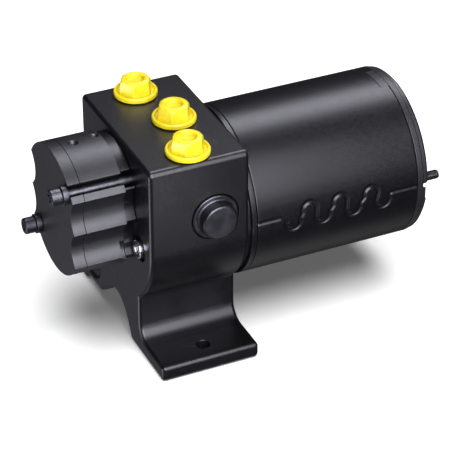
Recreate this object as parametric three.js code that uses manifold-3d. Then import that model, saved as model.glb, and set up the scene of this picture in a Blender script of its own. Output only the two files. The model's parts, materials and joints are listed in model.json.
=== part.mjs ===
// Reversible hydraulic power unit: a permanent-magnet DC motor drives a small gear pump
// through a valve block that also carries the ports, the check valves and the feet.
// Millimetres, +Z up. The unit is drawn about the valve block, whose middle is x = 0, and the
// last lines move it so that the origin is below the middle of the overall box, on the floor.
import * as THREE from 'three';
import { mergeVertices } from 'three/addons/utils/BufferGeometryUtils.js';
import Module from 'manifold-3d';

const wasm = await Module();
wasm.setup();

// Driving dimensions ---------------------------------------------------------------------------
const SEAT = 0.15; // gap left between faces that rest on each other
const PRESS = 0.15; // radial gap of a piece that is pressed or screwed into its hole
const RUN = 0.06; // radial running clearance of shafts and spools

const BLOCK = {
  pumpFace: -25, motorFace: 26.2, width: 85, top: 110.5, round: 3,
  footWidth: 109, footThick: 8, legHalf: 26,
};
const AXIS_Z = 65.4; // motor and drive shaft above the floor
const GEAR = { teeth: 11, module: 2, width: 9.4 };
const CENTRE_DISTANCE = GEAR.teeth * GEAR.module;
const IDLER_Z = AXIS_Z + CENTRE_DISTANCE;
const PUMP_Z = AXIS_Z + CENTRE_DISTANCE / 2;
const PUMP = { radius: 32.8, end: -57.5, coverThick: 6.2, plateThick: 5.5 };
// Hollows along each side of the pump, about axes outside it.
const SCALLOPS = [
  { y: 36.2, rise: 9.5, radius: 12.1 },
  { y: 34.2, rise: -9, radius: 11.4 },
];
const PUMP_SCREW = { y: -19.5, z: PUMP_Z + 19.1, head: 4.1, shank: 2.5, headEnd: -66 };
const VALVE = { x: 8.5, z: 79, bore: 6 };
const MOTOR = { radius: 42.7, wall: 3.5, front: 30.8, rear: 118, end: 124.4 };
const FOOT_HOLE = { x: 1, y: 44 };
const GALLERY_PLUG = [0, -29, 62];
const TIE_ROD = { y: -36, rise: 2.1, radius: 2.4, end: 132.5 };
const PORTS = [
  { name: 'front', x: -0.7, y: -31.6, galleryX: 3.1 },
  { name: 'middle', x: 5.7, y: -0.9, galleryX: 7 },
  { name: 'rear', x: -1.3, y: 29.8, galleryX: 2.8 },
];
const SIDES = [
  { name: 'front', sign: -1 },
  { name: 'rear', sign: 1 },
];
const ENDS = [
  { name: 'upper', sign: 1 },
  { name: 'lower', sign: -1 },
];
const [PUMP_FACE, MOTOR_FACE] = [BLOCK.pumpFace, BLOCK.motorFace];
// Sides of the large round surfaces, of the shafts and bores, and of the small holes.
const [LARGE, MEDIUM, SMALL] = [40, 22, 12];

// Materials ------------------------------------------------------------------------------------
const finish = (color, roughness, metalness) =>
  new THREE.MeshStandardMaterial({ color, roughness, metalness });
const blackPaint = finish(0x1b1b1e, 0.45, 0.3);
const darkSteel = finish(0x2a2a2d, 0.5, 0.8);
const brightSteel = finish(0xc9cbd0, 0.25, 1);
const yellowPlastic = finish(0xf2df1c, 0.35, 0);
const blackRubber = finish(0x121212, 0.8, 0);
const copper = finish(0xb46a35, 0.35, 1);
const bronze = finish(0x9a7a3c, 0.4, 1);
const ferrite = finish(0x3a3a3e, 0.8, 0.1);
const carbon = finish(0x262626, 0.7, 0.2);
const phenolic = finish(0x4a2c1a, 0.6, 0);

// Geometry helpers -----------------------------------------------------------------------------
const X_OUT = new THREE.Matrix4().makeBasis(
  new THREE.Vector3(0, 1, 0), new THREE.Vector3(0, 0, 1), new THREE.Vector3(1, 0, 0));
const Y_OUT = new THREE.Matrix4().makeBasis(
  new THREE.Vector3(0, 0, 1), new THREE.Vector3(1, 0, 0), new THREE.Vector3(0, 1, 0));
const OUT = { x: X_OUT, y: Y_OUT, z: new THREE.Matrix4() };

function toSolid(geometry) {
  const bare = geometry.clone();
  bare.deleteAttribute('normal');
  bare.deleteAttribute('uv');
  const merged = mergeVertices(bare, 1e-4);
  const index = merged.index.array;
  const triangles = [];
  for (let i = 0; i < index.length; i += 3) {
    const [a, b, c] = [index[i], index[i + 1], index[i + 2]];
    if (a !== b && b !== c && c !== a) triangles.push(a, b, c);
  }
  return new wasm.Manifold(new wasm.Mesh({
    numProp: 3,
    vertProperties: new Float32Array(merged.attributes.position.array),
    triVerts: new Uint32Array(triangles),
  }));
}

function toGeometry(solid) {
  const mesh = solid.getMesh();
  const geometry = new THREE.BufferGeometry();
  geometry.setAttribute('position', new THREE.BufferAttribute(mesh.vertProperties, 3));
  geometry.setIndex(new THREE.BufferAttribute(mesh.triVerts, 1));
  geometry.computeVertexNormals();
  return geometry;
}

// The first geometry with the second list joined to it and the third list cut from it.
function combine(base, added, removed) {
  let solid = toSolid(base);
  for (const piece of added) solid = solid.add(toSolid(piece));
  for (const piece of removed) solid = solid.subtract(toSolid(piece));
  return toGeometry(solid);
}
const cut = (base, removed) => combine(base, [], removed);
const join = (base, added) => combine(base, added, []);

// An extrusion that starts at the plane axis = from. Sketches are (y, z) for x, (z, x) for y
// and (x, y) for z.
function extrude(shape, axis, from, to, bevel = 0, curveSegments = 10) {
  const geometry = new THREE.ExtrudeGeometry(shape, {
    depth: to - from - 2 * bevel,
    bevelEnabled: bevel > 0,
    bevelThickness: bevel,
    bevelSize: bevel,
    bevelOffset: -bevel,
    bevelSegments: 1,
    curveSegments,
  });
  geometry.translate(0, 0, from + bevel);
  return geometry.applyMatrix4(OUT[axis]);
}

// A solid of revolution from [distance along the axis, radius] pairs, in rising distance.
function turned(profile, axis, segments = MEDIUM) {
  const points = profile.map(([along, radius]) => new THREE.Vector2(radius, along));
  const geometry = new THREE.LatheGeometry(points, segments);
  geometry.rotateX(Math.PI / 2);
  return geometry.applyMatrix4(OUT[axis]);
}

const rod = (axis, from, to, radius, segments = MEDIUM) =>
  turned([[from, 0], [from, radius], [to, radius], [to, 0]], axis, segments);
const ring = (axis, from, to, inner, outer, segments = MEDIUM) =>
  turned([[from, inner], [from, outer], [to, outer], [to, inner], [from, inner]], axis, segments);
// Radius of a many-sided hole whose flats are as far from the axis as the wanted radius.
const holeRadius = (radius, segments = MEDIUM) => radius / Math.cos(Math.PI / segments);

function box(fromX, toX, fromY, toY, fromZ, toZ) {
  const geometry = new THREE.BoxGeometry(toX - fromX, toY - fromY, toZ - fromZ);
  return geometry.translate((fromX + toX) / 2, (fromY + toY) / 2, (fromZ + toZ) / 2);
}

function hexagon(acrossFlats) {
  const corners = [];
  const radius = acrossFlats / Math.sqrt(3);
  for (let i = 0; i < 6; i += 1) {
    const angle = i * Math.PI / 3;
    corners.push(new THREE.Vector2(radius * Math.cos(angle), radius * Math.sin(angle)));
  }
  return new THREE.Shape(corners);
}

// A round-section ring, such as an O-ring.
function roundRing(axis, at, middle, section) {
  const profile = [];
  for (let i = 0; i <= 6; i += 1) {
    const angle = -i * Math.PI / 3;
    profile.push([at + section * Math.sin(angle), middle - section * Math.cos(angle)]);
  }
  return turned(profile, axis, MEDIUM);
}

class Helix extends THREE.Curve {
  constructor(radius, turns, length) {
    super();
    Object.assign(this, { radius, turns, length });
  }

  getPoint(t) {
    const angle = 2 * Math.PI * this.turns * t;
    return new THREE.Vector3(
      this.radius * Math.cos(angle), this.radius * Math.sin(angle), this.length * t);
  }
}

function spring(axis, from, to, radius, wire, turns) {
  const section = new THREE.Shape();
  section.absarc(0, 0, wire, 0, 2 * Math.PI);
  const geometry = new THREE.ExtrudeGeometry(section, {
    extrudePath: new Helix(radius, turns, to - from - 2 * wire),
    steps: turns * 8,
    curveSegments: 2,
  });
  geometry.translate(0, 0, from + wire);
  return geometry.applyMatrix4(OUT[axis]);
}

const unit = new THREE.Group();

function add(name, geometry, material, [x, y, z] = [0, 0, 0]) {
  const mesh = new THREE.Mesh(geometry, material);
  mesh.name = name;
  mesh.position.set(x, y, z);
  unit.add(mesh);
}
const ON_AXIS = [0, 0, AXIS_Z];
const tieRodSpot = (sign) => [0, -sign * TIE_ROD.y, AXIS_Z - sign * TIE_ROD.rise];
const pumpScrewSpot = (sign) =>
  [0, sign * PUMP_SCREW.y, PUMP_Z + sign * (PUMP_SCREW.z - PUMP_Z)];
const at = (geometry, [x, y, z]) => geometry.translate(x, y, z);

// Valve block with its feet --------------------------------------------------------------------
function blockSection() {
  const { width, top, round, footWidth, footThick, legHalf } = BLOCK;
  const [side, toe, fillet] = [width / 2, footWidth / 2, 8];
  const legTop = Math.acos(legHalf / side);
  const shape = new THREE.Shape();
  shape.moveTo(-toe, 0);
  shape.lineTo(-14.5, 0);
  // The arch between the feet, whose rear foot stands on a pad along its outer edge.
  shape.bezierCurveTo(-10.5, 9, -5, 17.2, 3, 17.2);
  shape.bezierCurveTo(12, 17.2, 18, 10, 25, 4);
  shape.lineTo(42, 4);
  shape.lineTo(44, 0);
  shape.lineTo(toe, 0);
  shape.lineTo(toe, footThick);
  shape.lineTo(legHalf + fillet, footThick);
  shape.absarc(legHalf + fillet, footThick + fillet, fillet, -Math.PI / 2, -Math.PI, true);
  shape.absarc(0, AXIS_Z, side, -legTop, 0, false);
  shape.absarc(side - round, top - round, round, 0, Math.PI / 2, false);
  shape.absarc(round - side, top - round, round, Math.PI / 2, Math.PI, false);
  shape.absarc(0, AXIS_Z, side, Math.PI, Math.PI + legTop, false);
  shape.absarc(-legHalf - fillet, footThick + fillet, fillet, 0, -Math.PI / 2, true);
  shape.lineTo(-toe, footThick);
  return shape;
}

function valveBlock() {
  const bores = [];
  for (const port of PORTS) {
    bores.push(at(rod('z', 95, BLOCK.top + 1, 6.6), [port.x, port.y, 0]));
    bores.push(at(rod('z', VALVE.z, 96, 2.5, SMALL), [port.galleryX, port.y, 0]));
  }
  const valve = [VALVE.x, 0, VALVE.z];
  const face = BLOCK.width / 2;
  bores.push(at(rod('y', -face - 1, face + 1, holeRadius(VALVE.bore)), valve));
  bores.push(at(rod('y', -face - 1, -face + 1.5, 12.2), valve));
  bores.push(at(rod('y', face - 1.5, face + 1, 12.2), valve));
  // Drive shaft: seal pocket, shaft bore and coupling chamber.
  bores.push(at(rod('x', PUMP_FACE - 1, -19, 8.2), ON_AXIS));
  bores.push(at(rod('x', -20, 17, 4.7), ON_AXIS));
  bores.push(at(rod('x', 16.5, MOTOR_FACE + 1, 9), ON_AXIS));
  for (const { sign } of SIDES) {
    bores.push(at(rod('x', PUMP_FACE - 1, 6, 2.5, SMALL), [0, sign * 8.5, PUMP_Z]));
    bores.push(at(rod('z', -1, BLOCK.footThick + 1, 3.5, 18), [FOOT_HOLE.x, sign * FOOT_HOLE.y, 0]));
    bores.push(at(rod('x', PUMP_FACE - 1, -12, PUMP_SCREW.shank + PRESS, SMALL), pumpScrewSpot(sign)));
    bores.push(at(rod('x', 12, MOTOR_FACE + 1, TIE_ROD.radius + PRESS, SMALL), tieRodSpot(sign)));
  }
  // Gallery plug beside the pump.
  bores.push(at(rod('x', PUMP_FACE - 1, -16, 4.2, SMALL), GALLERY_PLUG));
  bores.push(at(rod('x', PUMP_FACE - 1, PUMP_FACE + 1.5, 6.4, 18), GALLERY_PLUG));
  const body = extrude(blockSection(), 'x', PUMP_FACE, MOTOR_FACE, 1.6, 12);
  add('valve_block', cut(body, bores), blackPaint);
}

function galleryPlug() {
  const plug = rod('x', -23, -16.5, 4.05, SMALL);
  const head = rod('x', -26.8, -23.7, 4.6, 18);
  const neck = rod('x', -24, -22.5, 3.6, SMALL);
  const socket = extrude(hexagon(4), 'x', -27.5, -24.6);
  add('gallery_plug', combine(plug, [head, neck], [socket]), brightSteel, GALLERY_PLUG);
}

// Yellow shipping plugs in the three ports -------------------------------------------------------
function portPlugs() {
  for (const port of PORTS) {
    const base = BLOCK.top + SEAT;
    const body = turned([
      [base - 10, 0], [base - 10, 5.6], [base, 6.3], [base, 10.1], [base + 0.5, 10.8],
      [base + 2.6, 10.8], [base + 3, 10.4], [base + 3, 9.5], [base + 1.8, 8.8], [base + 1.8, 0],
    ], 'z', 24);
    const head = extrude(hexagon(14.8), 'z', base + 1, base + 9.4, 0.8);
    const recess = rod('z', base + 7, base + 10, 4.6, 18);
    const hollow = rod('z', base - 11, base + 3.6, 4.2, 18);
    const geometry = combine(body, [head], [recess, hollow]);
    add(`port_plug_${port.name}`, geometry, yellowPlastic, [port.x, port.y, 0]);
  }
}

// Cross bore: spool, seats, sprung poppets and the side plugs that close it ---------------------
function crossBore() {
  const spot = [VALVE.x, 0, VALVE.z];
  const fit = VALVE.bore - RUN;
  add('shuttle_spool', turned([
    [-16.2, 0], [-16.2, 1.8], [-11, 1.8], [-11, fit], [-6, fit], [-6, 3.8],
    [6, 3.8], [6, fit], [11, fit], [11, 1.8], [16.2, 1.8], [16.2, 0],
  ], 'y'), brightSteel, spot);
  for (const { name, sign } of SIDES) {
    const out = (profile, segments) => {
      const placed = profile.map(([along, radius]) => [sign * along, radius]);
      return turned(sign > 0 ? placed : placed.reverse(), 'y', segments);
    };
    const pressed = VALVE.bore - PRESS;
    add(`check_seat_${name}`, out([
      [18, 3.6], [18, pressed], [20, pressed], [20, 3.6], [18, 3.6],
    ], 20), bronze, spot);
    add(`check_poppet_${name}`, out([
      [19.2, 0], [19.2, 2.4], [22, 4.9], [26.4, 4.9], [26.4, 2.2], [28.6, 2.2], [28.6, 0],
    ], 20), brightSteel, spot);
    const coil = sign > 0 ? [26.6, 33] : [-33, -26.6];
    add(`check_spring_${name}`, spring('y', coil[0], coil[1], 3.3, 0.5, 4), brightSteel, spot);
    const plug = out([
      [33.4, 0], [33.4, pressed], [36, pressed], [36, 4.3], [38, 4.3], [38, pressed],
      [41.2, pressed], [41.2, 11.7], [42.6, 11.7], [43.3, 11], [43.3, 9], [48.4, 9], [49.2, 8.2],
      [49.2, 0],
    ], 24);
    add(`side_plug_${name}`, plug, blackPaint, spot);
    add(`side_plug_seal_${name}`, roundRing('y', sign * 37, 5.15, 0.72), blackRubber, spot);
  }
}

// Gear pump ------------------------------------------------------------------------------------
// Hollows along each side and the open groove that each long screw lies in.
function pumpHollows(from, to, margin) {
  const tools = [];
  for (const { sign } of SIDES) {
    for (const { y, rise, radius } of SCALLOPS) {
      tools.push(at(rod('x', from, to, radius + margin, 44), [0, sign * y, PUMP_Z - sign * rise]));
    }
    const [, y, z] = pumpScrewSpot(-sign);
    const groove = box(from, to, 0, 14, -2.8 - margin, 2.8 + margin);
    groove.rotateX(Math.atan2(z - PUMP_Z, y));
    tools.push(at(groove, [0, y, z]));
    tools.push(at(rod('x', from, to, 2.8 + margin, SMALL), [0, y, z]));
  }
  return tools;
}

function pumpSlice(from, to, radius, bevel) {
  const shape = new THREE.Shape();
  shape.absarc(0, 0, radius, 0, 2 * Math.PI, false);
  return extrude(shape, 'x', from, to, bevel, 22).translate(0, 0, PUMP_Z);
}

function gearBores(from, to, radius, segments) {
  return [AXIS_Z, IDLER_Z].map((z) => at(rod('x', from, to, radius, segments), [0, 0, z]));
}

function pumpHousing() {
  const coverIn = PUMP.end + PUMP.coverThick;
  const plateOut = PUMP_FACE - PUMP.plateThick;
  const hollows = () => pumpHollows(PUMP.end - 1, PUMP_FACE, 0);
  const pocket = at(rod('x', plateOut - 2.5, PUMP_FACE, 6.6, 18), GALLERY_PLUG);

  const blindBores = gearBores(PUMP.end + 1.6, coverIn + 1, holeRadius(5.1), MEDIUM);
  const cover = pumpSlice(PUMP.end, coverIn, PUMP.radius, 0.6);
  add('pump_end_cover', cut(cover, [...hollows(), ...blindBores]), blackPaint);

  const body = pumpSlice(coverIn + SEAT, plateOut - SEAT, PUMP.radius, 0.3);
  const ports = SIDES.map(({ sign }) =>
    at(rod('x', coverIn - 1, plateOut + 1, 3, SMALL), [0, sign * 8.5, PUMP_Z]));
  const chamber = gearBores(coverIn - 1, plateOut + 1, holeRadius(13.2, 36), 36);
  add('pump_body', cut(body, [...hollows(), ...chamber, ...ports, pocket]), blackPaint);

  const plate = pumpSlice(plateOut, PUMP_FACE - SEAT, PUMP.radius - 1.4, 0.3);
  const holes = SIDES.map(({ sign }) =>
    at(rod('x', plateOut - 1, PUMP_FACE + 1, 2.5, SMALL), [0, sign * 8.5, PUMP_Z]));
  holes.push(at(rod('x', plateOut - 1, PUMP_FACE + 1, 5.2), ON_AXIS));
  holes.push(at(ring('x', PUMP_FACE - 1.6, PUMP_FACE + 1, 19.8, 22.2), [0, 0, PUMP_Z]));
  add('pump_port_plate', cut(plate, [
    ...pumpHollows(plateOut - 1, PUMP_FACE, 1.2), ...holes, pocket]), blackPaint);
  add('pump_face_seal', roundRing('x', PUMP_FACE - 0.9, 21, 0.65), blackRubber, [0, 0, PUMP_Z]);
}

function bearingBlocks() {
  const [left, right] = [PUMP.end + PUMP.coverThick + 0.3, PUMP_FACE - PUMP.plateThick - 0.3];
  const middle = (left + right) / 2;
  const half = GEAR.width / 2 + RUN;
  const spans = { outer: [left, middle - half], inner: [middle + half, right] };
  for (const [name, [from, to]] of Object.entries(spans)) {
    const [lower, upper] = gearBores(from, to, 13.05, 36);
    const bores = gearBores(from - 1, to + 1, holeRadius(5 + RUN), MEDIUM);
    add(`bearing_block_${name}`, combine(lower, [upper], bores), bronze);
  }
  return middle;
}

// Involute tooth outline with one tooth towards +Z, thinned a little for backlash.
function gearSection() {
  const pitch = CENTRE_DISTANCE / 2;
  const base = pitch * Math.cos(Math.PI / 9);
  const [tip, root] = [pitch + 1.7, pitch - 2.5];
  const involute = (radius) => {
    const angle = Math.acos(Math.min(1, base / radius));
    return Math.tan(angle) - angle;
  };
  const halfAtPitch = Math.PI / (2 * GEAR.teeth) - 0.02;
  const halfAt = (radius) => halfAtPitch + involute(pitch) - involute(radius);
  const flank = [
    [root, halfAt(base) * 0.62], [base - 0.6, halfAt(base) * 0.8], [base + 0.2, halfAt(base + 0.2)],
    [pitch, halfAtPitch], [(pitch + tip) / 2, halfAt((pitch + tip) / 2)], [tip, halfAt(tip)],
  ];
  const points = [];
  for (let tooth = 0; tooth < GEAR.teeth; tooth += 1) {
    const centre = Math.PI / 2 + tooth * 2 * Math.PI / GEAR.teeth;
    const rising = flank.map(([radius, half]) => [radius, centre - half]);
    const falling = flank.map(([radius, half]) => [radius, centre + half]).reverse();
    for (const [radius, angle] of [...rising, ...falling]) {
      points.push(new THREE.Vector2(radius * Math.cos(angle), radius * Math.sin(angle)));
    }
  }
  return new THREE.Shape(points);
}

function pumpGears(middle) {
  const [from, to] = [middle - GEAR.width / 2, middle + GEAR.width / 2];
  const teeth = () => extrude(gearSection(), 'x', from, to);
  const driveShaft = turned([
    [-55.4, 0], [-55.4, 5], [-25.6, 5], [-25.2, 4], [16.8, 4], [16.8, 0],
  ], 'x');
  const tang = box(16, 20.4, -3.5, 3.5, -1.4, 1.4);
  add('drive_gear', join(teeth(), [driveShaft, tang]), brightSteel, ON_AXIS);
  const idlerShaft = rod('x', -55.4, -31, 5);
  add('idler_gear', join(teeth(), [idlerShaft]), brightSteel, [0, 0, IDLER_Z]);
  add('shaft_seal', ring('x', -24.6, -19.4, 4.15, 8), blackRubber, ON_AXIS);
}

function pumpScrews() {
  const { head, shank, headEnd } = PUMP_SCREW;
  for (const { name, sign } of ENDS) {
    const spot = pumpScrewSpot(sign);
    const body = turned([
      [headEnd, 0], [headEnd, head - 0.5], [headEnd + 0.5, head], [headEnd + 5.5, head],
      [headEnd + 5.5, shank], [-13, shank], [-13, 0],
    ], 'x', 20);
    const socket = extrude(hexagon(4), 'x', headEnd - 1, headEnd + 2.6);
    add(`pump_screw_${name}`, cut(body, [socket]), darkSteel, spot);
    const washer = ring('x', headEnd + 5.65, PUMP.end - SEAT, shank + PRESS, 4.9, 20);
    add(`pump_washer_${name}`, washer, darkSteel, spot);
  }
}

// Motor ----------------------------------------------------------------------------------------
const CAN_INNER = MOTOR.radius - MOTOR.wall;

function frontBell() {
  const { radius, front } = MOTOR;
  const body = turned([
    [MOTOR_FACE + SEAT, 10.15], [MOTOR_FACE + SEAT, radius - 2.2], [28, radius - 2.2], [28, radius], [front - SEAT, radius], [front - SEAT, CAN_INNER - PRESS],
    [36, CAN_INNER - PRESS], [36, 34], [31, 32], [31, 14], [34, 13.4], [34, 10.15],
    [MOTOR_FACE + SEAT, 10.15],
  ], 'x', LARGE);
  const holes = SIDES.map(({ sign }) =>
    at(rod('x', MOTOR_FACE - 1, 38, TIE_ROD.radius + 0.3, SMALL), tieRodSpot(sign)));
  const groove = at(ring('x', MOTOR_FACE - 1, MOTOR_FACE + 1.6, 23.8, 26.2), ON_AXIS);
  add('front_end_bell', cut(at(body, ON_AXIS), [...holes, groove]), blackPaint);
  add('motor_face_seal', roundRing('x', MOTOR_FACE + 0.9, 25, 0.65), blackRubber, ON_AXIS);
  add('bearing_front', ring('x', 26.6, 33.8, holeRadius(4 + RUN), 10), bronze, ON_AXIS);
}

function motorCan() {
  const body = turned([
    [MOTOR.front, CAN_INNER], [MOTOR.front, MOTOR.radius - 0.5], [MOTOR.front + 0.5, MOTOR.radius],
    [MOTOR.rear - 0.5, MOTOR.radius], [MOTOR.rear, MOTOR.radius - 0.5], [MOTOR.rear, CAN_INNER],
    [MOTOR.front, CAN_INNER],
  ], 'x', LARGE);
  // Notch in the rear edge, at the top, for the end cap's lug.
  const notch = box(MOTOR.rear - 4.8, MOTOR.rear + 1, -9, 9, 30, 50);
  add('motor_can', cut(body, [notch]), blackPaint, ON_AXIS);
}

function rearCap() {
  const { radius, rear, end } = MOTOR;
  const inner = CAN_INNER - PRESS;
  const body = turned([
    [108, 10.15], [108, 14], [112.5, 14.6], [115, 32], [111, 34], [111, inner], [rear + SEAT, inner],
    [rear + SEAT, radius], [rear + 2.8, radius], [rear + 3.3, radius - 0.5], [end - 1.2, radius - 0.5],
    [end, radius - 1.7], [end, 0], [117, 0], [117, 10.15], [108, 10.15],
  ], 'x', LARGE);
  // The lug fills the notch in the can and keeps the cap from turning.
  const lug = cut(ring('x', rear - 4.4, rear + 1, inner - 0.5, radius - 0.2), [
    box(rear - 5, rear + 2, 8.7, 50, -50, 50), box(rear - 5, rear + 2, -50, -8.7, -50, 50),
    box(rear - 5, rear + 2, -50, 50, -50, 0),
  ]);
  // A relief in the rim beside the near tie rod, open to its nut.
  const holes = [box(rear + 3.3, end + 1, -radius - 1, -39.4, AXIS_Z - 7.7, AXIS_Z + 2.6)];
  for (const { sign } of SIDES) {
    holes.push(at(rod('x', 108, end + 1, TIE_ROD.radius + 0.3, SMALL), tieRodSpot(sign)));
    holes.push(at(rod('x', rear + 0.6, end + 1, 5, SMALL), tieRodSpot(sign)));
  }
  add('rear_end_cap', cut(at(join(body, [lug]), ON_AXIS), holes), blackPaint);
  add('bearing_rear', ring('x', 108.4, 116.6, holeRadius(4 + RUN), 10), bronze, ON_AXIS);
}

function magnets() {
  const [inner, outer] = [33, CAN_INNER - SEAT];
  const halfArc = 68 * Math.PI / 180;
  for (const { name, sign } of ENDS) {
    const middle = sign * Math.PI / 2;
    const shape = new THREE.Shape();
    shape.absarc(0, 0, outer, middle - halfArc, middle + halfArc, false);
    shape.absarc(0, 0, inner, middle + halfArc, middle - halfArc, true);
    add(`magnet_${name}`, extrude(shape, 'x', 39, 91, 0, 14), ferrite, ON_AXIS);
  }
}

const CORE = { from: 44, to: 84, radius: 32, slots: 12, slotIn: 16.5, slotOut: 28 };

function armatureCore() {
  const { radius, slots, slotIn, slotOut } = CORE;
  const shape = new THREE.Shape();
  const mouth = 1.3;
  const reach = Math.sqrt(radius * radius - mouth * mouth);
  const slot = [
    [reach, -mouth], [slotOut, -mouth], [slotOut, -3.2], [slotIn, -2.2],
    [slotIn, 2.2], [slotOut, 3.2], [slotOut, mouth], [reach, mouth],
  ];
  const points = [];
  for (let i = 0; i < slots; i += 1) {
    const angle = i * 2 * Math.PI / slots;
    const [c, s] = [Math.cos(angle), Math.sin(angle)];
    for (const [u, v] of slot) points.push(new THREE.Vector2(u * c - v * s, u * s + v * c));
    for (const step of [0.3, 0.5, 0.7]) {
      const between = angle + step * 2 * Math.PI / slots;
      points.push(new THREE.Vector2(radius * Math.cos(between), radius * Math.sin(between)));
    }
  }
  shape.setFromPoints(points);
  const core = cut(extrude(shape, 'x', CORE.from, CORE.to), [rod('x', 40, 90, 6.15)]);
  add('armature_core', core, darkSteel, ON_AXIS);
}

function armatureWinding() {
  const { from, to, slots, slotIn, slotOut } = CORE;
  const headRing = (a, b) => turned([
    [a, slotIn + 0.6], [a, slotOut - 2], [a + 1.5, slotOut - 0.4], [b - 1.5, slotOut - 0.4],
    [b, slotOut - 2], [b, slotIn + 0.6], [a, slotIn + 0.6],
  ], 'x', 24);
  const bars = [];
  for (let i = 0; i < slots; i += 1) {
    const bar = box(from - 2, to + 2, slotIn + 0.7, slotOut - 0.5, -1.85, 1.85);
    bars.push(bar.rotateX(i * 2 * Math.PI / slots));
  }
  const winding = join(headRing(from - 6.5, from - 0.3), [headRing(to + 0.3, to + 6.5), ...bars]);
  add('armature_winding', winding, copper, ON_AXIS);
}

const COMMUTATOR = { from: 93, to: 106, radius: 13 };

function commutator() {
  const { from, to, radius } = COMMUTATOR;
  const slots = [];
  for (let i = 0; i < CORE.slots; i += 1) {
    const slot = box(from + 1.5, to + 1, radius - 1, radius + 1, -0.4, 0.4);
    slots.push(slot.rotateX((i + 0.5) * 2 * Math.PI / CORE.slots));
  }
  add('commutator', cut(ring('x', from, to, 6.15, radius, 24), slots), copper, ON_AXIS);
}

function motorShaft() {
  const body = turned([
    [24.5, 0], [24.5, 4], [36, 4], [36, 6], [107.4, 6], [107.4, 4], [116.2, 4], [116.2, 0],
  ], 'x');
  const tang = box(21, 25, -3.5, 3.5, -1.4, 1.4);
  add('motor_shaft', join(body, [tang]), brightSteel, ON_AXIS);
  const disc = rod('x', 17.2, 24.2, 8);
  const slot = box(16, 26, -3.9, 3.9, -1.7, 1.7);
  add('drive_coupling', cut(disc, [slot]), darkSteel, ON_AXIS);
}

// Brush gear: a plate with two guides, and a sprung brush in each.
function brushGear() {
  const reach = COMMUTATOR.radius + 0.1;
  const guides = ENDS.map(({ sign }) => {
    const guide = box(95.4, 105, -4.6, 4.6, 14.2, 35);
    return sign > 0 ? guide : guide.rotateX(Math.PI);
  });
  const pockets = ENDS.map(({ sign }) => {
    const pocket = box(97, 103.4, -3.2, 3.2, 13, 33.8);
    return sign > 0 ? pocket : pocket.rotateX(Math.PI);
  });
  const holes = SIDES.map(({ sign }) =>
    at(rod('x', 100, 110, TIE_ROD.radius + 0.3, SMALL), tieRodSpot(sign)));
  for (const hole of holes) hole.translate(0, 0, -AXIS_Z);
  const plate = ring('x', 104, 106.5, 16, CAN_INNER - PRESS, 36);
  add('brush_plate', combine(plate, guides, [...pockets, ...holes]), phenolic, ON_AXIS);
  for (const { name, sign } of ENDS) {
    const place = (geometry) => (sign > 0 ? geometry : geometry.rotateX(Math.PI));
    const brush = box(97.25, 103.15, -2.95, 2.95, reach, reach + 11);
    add(`brush_${name}`, place(brush), carbon, ON_AXIS);
    const coil = spring('z', reach + 11.2, 33.6, 2.2, 0.4, 5).translate(100.2, 0, 0);
    add(`brush_spring_${name}`, place(coil), brightSteel, ON_AXIS);
  }
}

function tieRods() {
  for (const { name, sign } of SIDES) {
    const body = turned([
      [13, 0], [13, TIE_ROD.radius], [TIE_ROD.end - 0.6, TIE_ROD.radius],
      [TIE_ROD.end, TIE_ROD.radius - 0.6], [TIE_ROD.end, 0],
    ], 'x', 16);
    add(`tie_rod_${name}`, body, darkSteel, tieRodSpot(sign));
    const nut = extrude(hexagon(8), 'x', MOTOR.rear + 0.7, MOTOR.rear + 4.7);
    const hole = rod('x', MOTOR.rear, MOTOR.end + 1, TIE_ROD.radius + PRESS, SMALL);
    add(`tie_rod_nut_${name}`, cut(nut, [hole]), darkSteel, tieRodSpot(sign));
  }
}

valveBlock();
galleryPlug();
portPlugs();
crossBore();
pumpHousing();
pumpGears(bearingBlocks());
pumpScrews();
frontBell();
motorCan();
rearCap();
magnets();
armatureCore();
armatureWinding();
commutator();
motorShaft();
brushGear();
tieRods();

unit.position.x = -(PUMP_SCREW.headEnd + TIE_ROD.end) / 2;
const powerUnit = new THREE.Group();
powerUnit.add(unit);
export default powerUnit;
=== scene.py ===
"""Looks of a small reversible hydraulic power unit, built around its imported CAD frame.

Shapes are drawn in millimetres in the unit's own frame, where x = 0 is the middle of the valve
block and z = 0 is the floor. keep() turns each finished mesh into metres in the shared frame.
"""

import json
import math

import bmesh
import bpy
import numpy as np
from mathutils import Matrix, Vector


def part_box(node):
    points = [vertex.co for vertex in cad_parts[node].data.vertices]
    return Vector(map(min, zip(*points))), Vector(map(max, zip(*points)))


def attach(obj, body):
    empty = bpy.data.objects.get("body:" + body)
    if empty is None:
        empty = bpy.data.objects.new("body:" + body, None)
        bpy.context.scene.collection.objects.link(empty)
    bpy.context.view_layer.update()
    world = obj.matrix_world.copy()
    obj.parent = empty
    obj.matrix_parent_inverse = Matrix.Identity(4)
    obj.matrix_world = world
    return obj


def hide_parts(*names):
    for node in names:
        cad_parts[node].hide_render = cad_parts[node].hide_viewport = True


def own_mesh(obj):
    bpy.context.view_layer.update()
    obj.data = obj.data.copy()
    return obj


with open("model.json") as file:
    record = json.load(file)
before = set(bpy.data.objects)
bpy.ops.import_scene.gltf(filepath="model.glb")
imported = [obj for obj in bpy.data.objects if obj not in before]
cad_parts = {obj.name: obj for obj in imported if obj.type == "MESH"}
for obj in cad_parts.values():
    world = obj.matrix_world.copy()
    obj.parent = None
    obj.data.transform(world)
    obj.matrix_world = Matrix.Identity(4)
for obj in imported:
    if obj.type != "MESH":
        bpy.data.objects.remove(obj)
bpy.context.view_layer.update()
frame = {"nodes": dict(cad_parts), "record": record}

# Driving dimensions ---------------------------------------------------------------------------
MM = 0.001
SEAT = 0.15  # gap between faces that rest on each other
PRESS = 0.15  # radial gap of a piece that is pressed or screwed into its hole
PUMP_FACE, MOTOR_FACE = -25.0, 26.2  # the two ends of the valve block
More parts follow.
